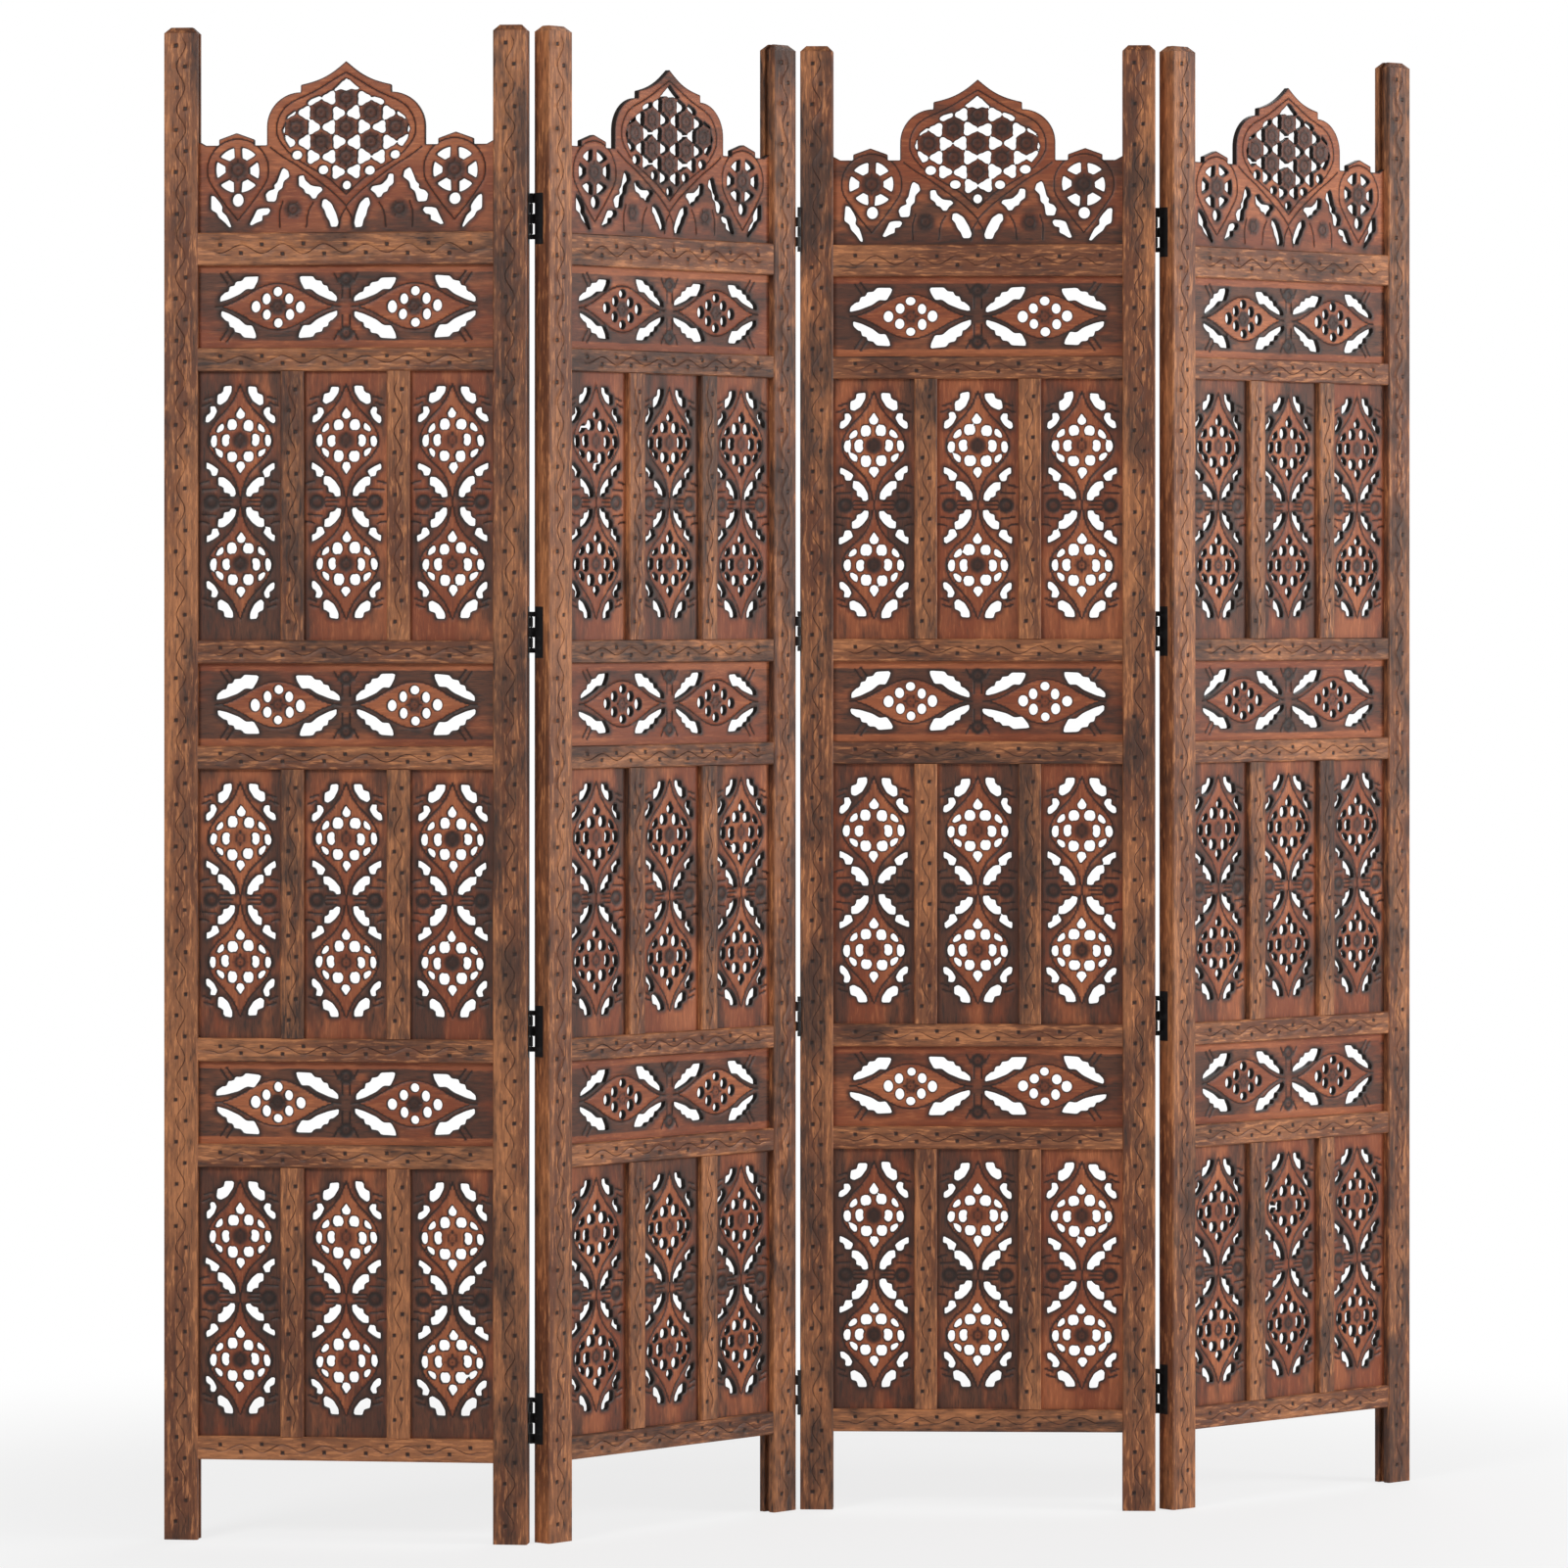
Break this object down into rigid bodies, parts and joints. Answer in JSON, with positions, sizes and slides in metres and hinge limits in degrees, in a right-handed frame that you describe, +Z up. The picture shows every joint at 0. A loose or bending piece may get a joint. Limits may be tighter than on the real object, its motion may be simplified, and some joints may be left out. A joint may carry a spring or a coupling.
{
  "type": "folding screen",
  "caption": "Carved wooden folding screen: pierced boards in hinged post-and-rail panels, each with a lobed crest, standing in a zigzag on the feet of its posts.",
  "frame": {"origin": "on the floor, at the middle of the open screen's bounding box", "axes": "+Z up; +X to the right along the zigzag as seen from the front; +Y to the back"},
  "size_m": [1.4046, 0.59, 1.65],
  "materials": {
    "frame_wood": "satin, stained brown, with burnt patches",
    "board_wood": "satin, red-brown, burnt along the edges and round the piercing",
    "hinge_paint": "black, slightly shiny"
  },
  "bodies": {
    "panel_1": {"panel_1_post_left": "frame_wood", "panel_1_post_right": "frame_wood", "panel_1_rails": "frame_wood", "panel_1_top_rail": "frame_wood", "panel_1_mullions": "frame_wood", "panel_1_crest_board": "board_wood", "panel_1_frieze_boards": "board_wood", "panel_1_tall_boards_1": "board_wood", "panel_1_tall_boards_2": "board_wood", "panel_1_tall_boards_3": "board_wood", "fold_1_left_leaves": "hinge_paint"},
    "panel_2": {"panel_2_post_left": "frame_wood", "panel_2_post_right": "frame_wood", "panel_2_rails": "frame_wood", "panel_2_top_rail": "frame_wood", "panel_2_mullions": "frame_wood", "panel_2_crest_board": "board_wood", "panel_2_frieze_boards": "board_wood", "panel_2_tall_boards_1": "board_wood", "panel_2_tall_boards_2": "board_wood", "panel_2_tall_boards_3": "board_wood", "fold_2_left_leaves": "hinge_paint", "fold_1_right_leaves": "hinge_paint"},
    "panel_3": {"panel_3_post_left": "frame_wood", "panel_3_post_right": "frame_wood", "panel_3_rails": "frame_wood", "panel_3_top_rail": "frame_wood", "panel_3_mullions": "frame_wood", "panel_3_crest_board": "board_wood", "panel_3_frieze_boards": "board_wood", "panel_3_tall_boards_1": "board_wood", "panel_3_tall_boards_2": "board_wood", "panel_3_tall_boards_3": "board_wood", "fold_3_left_leaves": "hinge_paint", "fold_2_right_leaves": "hinge_paint"},
    "panel_4": {"panel_4_post_left": "frame_wood", "panel_4_post_right": "frame_wood", "panel_4_rails": "frame_wood", "panel_4_top_rail": "frame_wood", "panel_4_mullions": "frame_wood", "panel_4_crest_board": "board_wood", "panel_4_frieze_boards": "board_wood", "panel_4_tall_boards_1": "board_wood", "panel_4_tall_boards_2": "board_wood", "panel_4_tall_boards_3": "board_wood", "fold_3_right_leaves": "hinge_paint"}
  },
  "joints": [
    {"name": "fold_1", "type": "hinge", "parent": "panel_1", "child": "panel_2", "pos_m": [-0.30114, -0.26932, 0], "axis": [0, 0, 1], "range_deg": [-54.4, 125.6]},
    {"name": "fold_2", "type": "hinge", "parent": "panel_2", "child": "panel_3", "pos_m": [-0.00885, 0.00823, 0], "axis": [0, 0, 1], "range_deg": [-130.2, 49.8]},
    {"name": "fold_3", "type": "hinge", "parent": "panel_3", "child": "panel_4", "pos_m": [0.39396, 0.02288, 0], "axis": [0, 0, 1], "range_deg": [-45.5, 134.5]}
  ]
}
